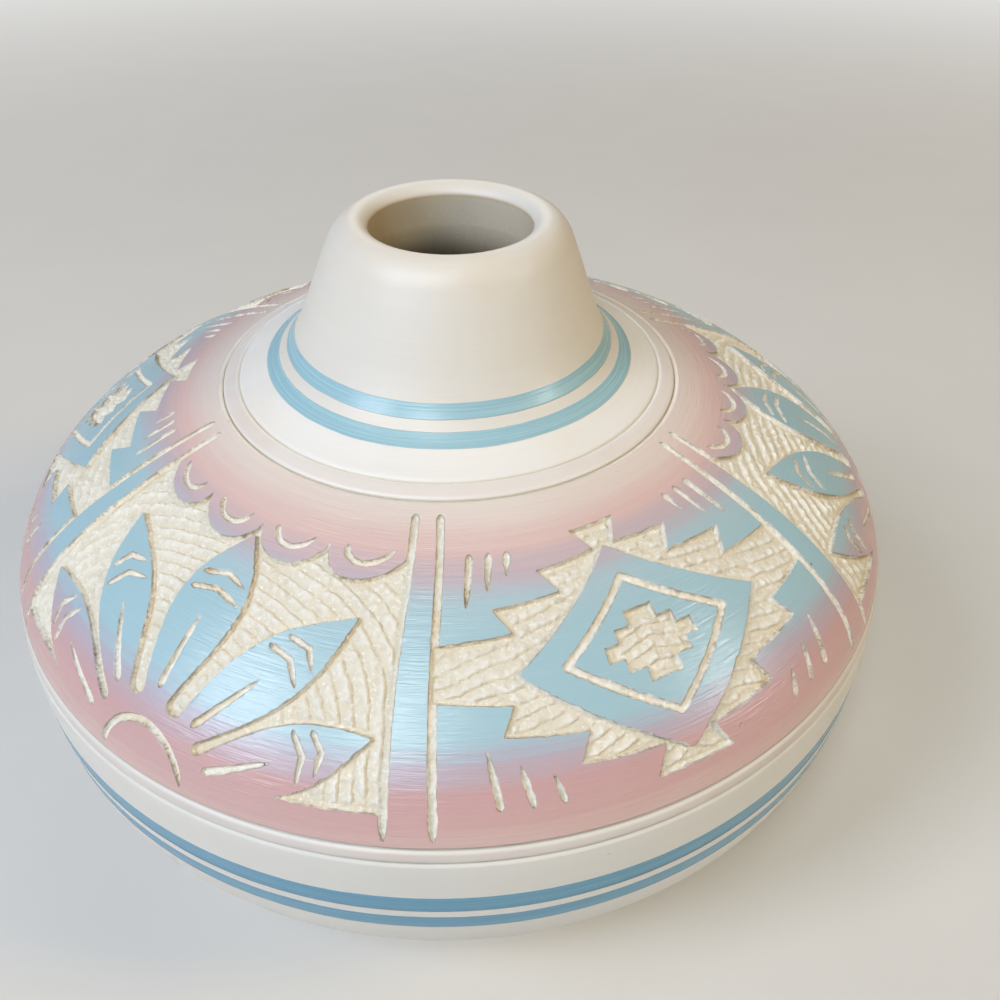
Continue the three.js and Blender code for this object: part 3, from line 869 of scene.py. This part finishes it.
def makeSector(index):
    rows = shoulder["rows"]
    outer = np.linspace(bellySeamSweep, 0.0, shoulder["columns"] + 1)
    start = band["firstPanel"] + shoulder["seamAt"] + panelWidth * index
    angles = start + panelWidth * np.arange(rows + 1) / rows
    angleGrid, sweepGrid = np.meshgrid(angles, outer, indexing="ij")
    angleGrid, sweepGrid, depthGrid, edgeGrid = carve(angleGrid, sweepGrid)

    # the way back inside: the gallery that holds the neck collar, then down the inner wall
    innerTop = sweepAt(form["galleryUnder"], form["wall"])
    innerSeam = sweepAt(form["bellySeam"], form["wall"])
    count = math.ceil((innerSeam - innerTop) / shoulder["insideStep"]) + 1
    galleryRadius, galleryTop = form["gallery"]
    inside = [(form["collar"][0], galleryTop), form["gallery"], (galleryRadius, form["galleryUnder"])]
    inside += [tuple(map(float, onOutside(s, form["wall"]))) for s in np.linspace(innerTop, innerSeam, count)]
    inside[-1] = (inside[-1][0], form["bellySeam"])
    r, z = onOutside(sweepGrid, depthGrid)
    r[:, 0], z[:, 0] = onOutside(bellySeamSweep, lineDepth(bellySeamSweep))
    z[:, 0] = form["bellySeam"]
    back = np.array(inside)[None].repeat(rows + 1, axis=0)
    r = np.concatenate([r, back[:, :, 0], r[:, :1]], axis=1)
    z = np.concatenate([z, back[:, :, 1], z[:, :1]], axis=1)

    def padded(values, fill):
        filler = np.full((rows + 1, len(inside)), fill)
        return np.concatenate([values, filler, values[:, :1]], axis=1)

    turn = np.radians(np.concatenate([angleGrid, angles[:, None].repeat(len(inside) + 1, axis=1)], axis=1))
    x, y, z = byHand(r * np.cos(turn), r * np.sin(turn), z)
    values = {"sweep": padded(sweepGrid, shoulder["insideSweep"]),
              "edge": padded(edgeGrid, shoulder["insideEdge"]),
              "relief": padded(depthGrid, shoulder["insideRelief"])}

    columns = x.shape[1] - 1
    bm = bmesh.new()
    layers = {name: bm.verts.layers.float.new(name) for name in values}
    bmesh.ops.create_grid(bm, x_segments=columns, y_segments=rows, size=1.0)
    for vert in bm.verts:
        column = round((vert.co.x + 1) / 2 * columns)
        row = round((vert.co.y + 1) / 2 * rows)
        vert.co = (x[row, column] * mm, y[row, column] * mm, z[row, column] * mm)
        for name, layer in layers.items():
            vert[layer] = values[name][row, column]
    bmesh.ops.remove_doubles(bm, verts=bm.verts, dist=0.002 * mm)
    bmesh.ops.holes_fill(bm, edges=[edge for edge in bm.edges if edge.is_boundary], sides=0)
    bmesh.ops.recalc_face_normals(bm, faces=bm.faces)
    kind = "diamond" if index % 2 == 0 else "fan"
    name = f"{kind}_panel_{index // 2 + 1}"
    return finishPiece(bm, name, ["shoulder_shell"], carvedMaterial, shoulder["sharpAngle"])


# Carved slip: paint in soft bands on the skin, the bare clay where it is cut away
paintBands = {
    0: (228, 219, 211), 6: (226, 209, 203), 12: (221, 191, 187), 19: (196, 181, 190), 26: (173, 200, 211),
    34: (166, 200, 212), 54: (167, 201, 214), 60: (186, 178, 193), 66: (204, 166, 167), 73: (207, 170, 168),
    78: (213, 184, 178),
}
bandSpan = 90.0
carved = {
    "clay": (238, 234, 221), "clayDeepShade": (224, 216, 195), "clayCrestLight": (243, 240, 230),
    "bead": (249, 247, 240),
    "ochreCornerShade": (212, 188, 134), "dirt": (148, 120, 82), "combStepShade": (200, 189, 158),
    "edgeChipAndShade": (132, 116, 98), "scratch": (238, 236, 232), "speck": (70, 56, 50),
    "dirtAndShadeLines": (0.1, bellySeamSweep - 0.1),
    "paintRoughness": 0.22, "clayRoughness": 0.72, "paintGloss": 0.62,
}


def carvedSlip():
    material, tree, shader = startMaterial("carvedSlip")
    sweep, edge, relief = (readSurface(tree, name) for name in ("sweep", "edge", "relief"))
    place = inMillimetres(tree)
    fine = streaks(tree, sweep, 2.4, 0.018)
    broad = streaks(tree, sweep, 0.5, 0.008)
    grit = useGroup(tree, gritGroup, {"Grain size": 0.7, "Speck size": 10.0, "Speck share": 0.08})
    patch = useGroup(tree, patchGroup, {"Size": 22.0, "Share": 0.45, "Blur": 0.14})["Patch"]
    small = useGroup(tree, patchGroup, {"Size": 5.0, "Share": 0.5, "Blur": 0.1})["Patch"]

    # paint
    drift = times(tree, sums(tree, "SUBTRACT", noise(tree, place, 0.02, 2.0), 0.5), 8.0)
    drift = scaled(tree, sums(tree, "SUBTRACT", fine, 0.5), 2.5, drift)
    drift = scaled(tree, sums(tree, "SUBTRACT", broad, 0.5), 8.0, drift)
    share = sums(tree, "DIVIDE", sums(tree, "ADD", sweep, drift), bandSpan, clamp=True)
    ramp = addNode(tree, "ValToRGB", {0: share})
    stops = ramp.color_ramp.elements
    while len(stops) < len(paintBands):
        stops.new(0.5)
    for stop, (position, colour) in zip(stops, paintBands.items()):
        stop.position = position / bandSpan
        stop.color = written(*colour)
    scratches = times(tree, between(tree, fine, 0.6, 0.78), 0.16)
    paint = mixed(tree, scratches, ramp.outputs["Color"], written(*carved["scratch"]))
    paint = tinted(tree, times(tree, grit["Speck"], 0.85), paint, carved["speck"])

    # clay
    # painted light and shade: the clay is lighter on the comb's crests and darker in the deep ground between
    # them
    clay = tinted(tree, between(tree, relief, 0.6, 1.35), written(*carved["clayCrestLight"]), carved["clayDeepShade"])
    clay = tinted(tree, times(tree, grit["Grain"], 0.5), clay, carved["clay"])
    beads = noise(tree, place, 1.0, 2.0, 0.6)
    # painted shade: a darker line where the ground is deepest, at the foot of each comb step
    combStepShade = times(tree, between(tree, relief, 1.34, 1.54), scaled(tree, small, 0.4, 0.12))
    clay = tinted(tree, combStepShade, clay, carved["combStepShade"])
    clay = tinted(tree, times(tree, between(tree, beads, 0.56, 0.64), 0.7), clay, carved["bead"])

    # painted shade: a yellow-brown band in patches where the ground meets the wall; and dirt left by the cut:
    # darker dots down the wall
    cornerShade = times(tree, between(tree, edge, -1.5, -0.5), between(tree, edge, 0.02, -0.2))
    cornerShade = times(tree, times(tree, cornerShade, patch), scaled(tree, small, 0.4, 0.15))
    clay = tinted(tree, cornerShade, clay, carved["ochreCornerShade"])
    wall = times(tree, between(tree, edge, -0.62, -0.3), between(tree, edge, 0.03, -0.04))
    dots = times(tree, wall, between(tree, beads, 0.5, 0.4))
    dots = times(tree, dots, scaled(tree, patch, 0.42, 0.14))
    clay = tinted(tree, dots, clay, carved["dirt"])
    # a thin dark line at the top of each wall: partly the paint's chipped rim, partly painted shade
    edgeChipAndShade = times(tree, between(tree, edge, -0.26, -0.12), between(tree, edge, 0.06, -0.02))
    edgeChipAndShade = times(tree, edgeChipAndShade, scaled(tree, small, 0.5, 0.12))

    # the same dark tint of dirt and painted shade along the grooves at the top and bottom of the band
    for at in carved["dirtAndShadeLines"]:
        line = times(tree, dirtAndShadeRing(tree, sweep, at), scaled(tree, patch, 0.25, 0.5))
        paint = tinted(tree, line, paint, slipLooks["dirtAndShadeColour"])
    skin = between(tree, edge, -0.06, 0.04)
    base = mixed(tree, edgeChipAndShade, mixed(tree, skin, clay, paint), written(*carved["edgeChipAndShade"]))
    tree.links.new(base, shader.inputs["Base Color"])
    paintRough = scaled(tree, fine, 0.16, carved["paintRoughness"] - 0.08)
    rough = addNode(tree, "Mix", {0: skin, 2: carved["clayRoughness"], 3: paintRough}).outputs[0]
    tree.links.new(rough, shader.inputs["Roughness"])
    shader.inputs["Specular IOR Level"].default_value = carved["paintGloss"]
    rubble = times(tree, noise(tree, place, 1.3, 4.0, 0.7), sums(tree, "SUBTRACT", 1.0, skin))
    brushed = times(tree, fine, skin)
    wrinkle = streaks(tree, sweep, 1.3, 0.09)
    wrinkled = times(tree, wrinkle, skin)
    hollow = sums(tree, "SUBTRACT", 1.0, grit["Pit"])
    bumped(tree, shader, [(brushed, 0.08), (wrinkled, 0.2), (rubble, 0.42), (hollow, 0.18),
                          (grit["Grain"], 0.03)])
    return material


carvedMaterial = carvedSlip()
for panel in range(band["panels"]):
    makeSector(panel)
print("shoulder carved")


# Floor, lamps and camera
studio = {
    "floorSize": 4.0, "floorColour": (212, 212, 210), "floorPale": (228, 228, 226), "floorFade": (0.45, 1.8),
    "worldColour": (238, 238, 236), "worldStrength": 0.08,
    "camera": (14.0, -232.1, 261.3), "pitch": 38.4, "roll": 0.17, "lens": 34.36, "sensor": 36.0,
}
lamps = {
    # azimuth, elevation, distance, width, height, watts, colour
    "windowLamp": (-150, 41, 2.8, 0.8, 1.3, 37.0, (0.87, 0.89, 1.0)),
    "frontLamp": (-110, 52, 2.8, 0.7, 1.6, 40.0, (0.89, 0.96, 1.0)),
    "warmLamp": (-12, 34, 2.8, 0.6, 1.0, 26.0, (1.0, 0.68, 0.26)),
    "topLamp": (36, 80, 2.8, 0.9, 0.9, 3.0, (1.0, 1.0, 1.0)),
    "backLamp": (96, 28, 2.8, 1.0, 1.4, 9.0, (1.0, 0.97, 0.93)),
    "frontGlint": (-134, 30, 2.8, 0.2, 0.3, 9.0, (0.95, 0.98, 1.0)),
    "sideGlint": (-18, 29, 2.8, 0.16, 0.4, 15.0, (1.0, 1.0, 1.0)),
}


def makeStage():
    bm = bmesh.new()
    bmesh.ops.create_grid(bm, x_segments=1, y_segments=1, size=studio["floorSize"])
    mesh = bpy.data.meshes.new("floor")
    bm.to_mesh(mesh)
    bm.free()
    floor = bpy.data.objects.new("floor", mesh)
    scene.collection.objects.link(floor)
    material, tree, shader = startMaterial("paleFloor")
    grain = noise(tree, inMillimetres(tree), 0.02, 3.0)
    tone = tinted(tree, times(tree, grain, 0.3), written(*studio["floorColour"]), studio["floorPale"])
    tree.links.new(tone, shader.inputs["Base Color"])
    shader.inputs["Roughness"].default_value = 0.9
    shader.inputs["Specular IOR Level"].default_value = 0.15
    # far away the floor turns into the background, for the camera only
    place = addNode(tree, "TexCoord").outputs["Object"]
    away = addNode(tree, "VectorMath", {0: place}, operation="LENGTH").outputs["Value"]
    seen = addNode(tree, "LightPath").outputs["Is Camera Ray"]
    faded = times(tree, between(tree, away, *studio["floorFade"]), seen)
    glow = addNode(tree, "Emission", {"Color": written(*studio["worldColour"]), "Strength": 1.0})
    blended = addNode(tree, "MixShader", {0: faded, 1: shader.outputs[0], 2: glow.outputs[0]})
    tree.links.new(blended.outputs[0], tree.nodes["Material Output"].inputs["Surface"])
    mesh.materials.append(material)


def makeLamp(name, azimuth, elevation, distance, width, height, watts, colour):
    light = bpy.data.lights.new(name, "AREA")
    light.shape = "RECTANGLE"
    light.size = width
    light.size_y = height
    light.energy = watts
    light.color = colour
    lamp = bpy.data.objects.new(name, light)
    turn, rise = math.radians(azimuth), math.radians(elevation)
    away = Vector((math.cos(turn) * math.cos(rise), math.sin(turn) * math.cos(rise), math.sin(rise)))
    lamp.location = away * distance + Vector((0, 0, form["belly"][1] * mm))
    lamp.rotation_euler = away.to_track_quat("Z", "Y").to_euler()
    lamp.visible_camera = False
    # the two small lamps only give glints, and the warm one gives none
    lamp.visible_diffuse = not name.endswith("Glint")
    lamp.visible_glossy = name != "warmLamp"
    scene.collection.objects.link(lamp)


def makeWorld():
    world = bpy.data.worlds.new("paleRoom")
    world.use_nodes = True
    tree = world.node_tree
    background = tree.nodes["Background"]
    rays = addNode(tree, "LightPath").outputs
    seen = sums(tree, "MAXIMUM", rays["Is Camera Ray"], rays["Is Transmission Ray"])
    strength = addNode(tree, "Mix", {0: seen, 2: studio["worldStrength"], 3: 1.0}).outputs[0]
    background.inputs["Color"].default_value = written(*studio["worldColour"])
    tree.links.new(strength, background.inputs["Strength"])
    scene.world = world


def makeCamera():
    data = bpy.data.cameras.new("photoView")
    data.lens = studio["lens"]
    data.sensor_width = studio["sensor"]
    data.clip_start = 0.01
    camera = bpy.data.objects.new("photoView", data)
    tilt = Matrix.Rotation(math.radians(90 - studio["pitch"]), 4, "X")
    roll = Matrix.Rotation(math.radians(studio["roll"]), 4, "Z")
    camera.matrix_world = Matrix.Translation(Vector(studio["camera"]) * mm) @ tilt @ roll
    scene.collection.objects.link(camera)
    scene.camera = camera


makeStage()
for name, values in lamps.items():
    makeLamp(name, *values)
makeWorld()
makeCamera()
scene.view_settings.view_transform = "Standard"
print("stage set")
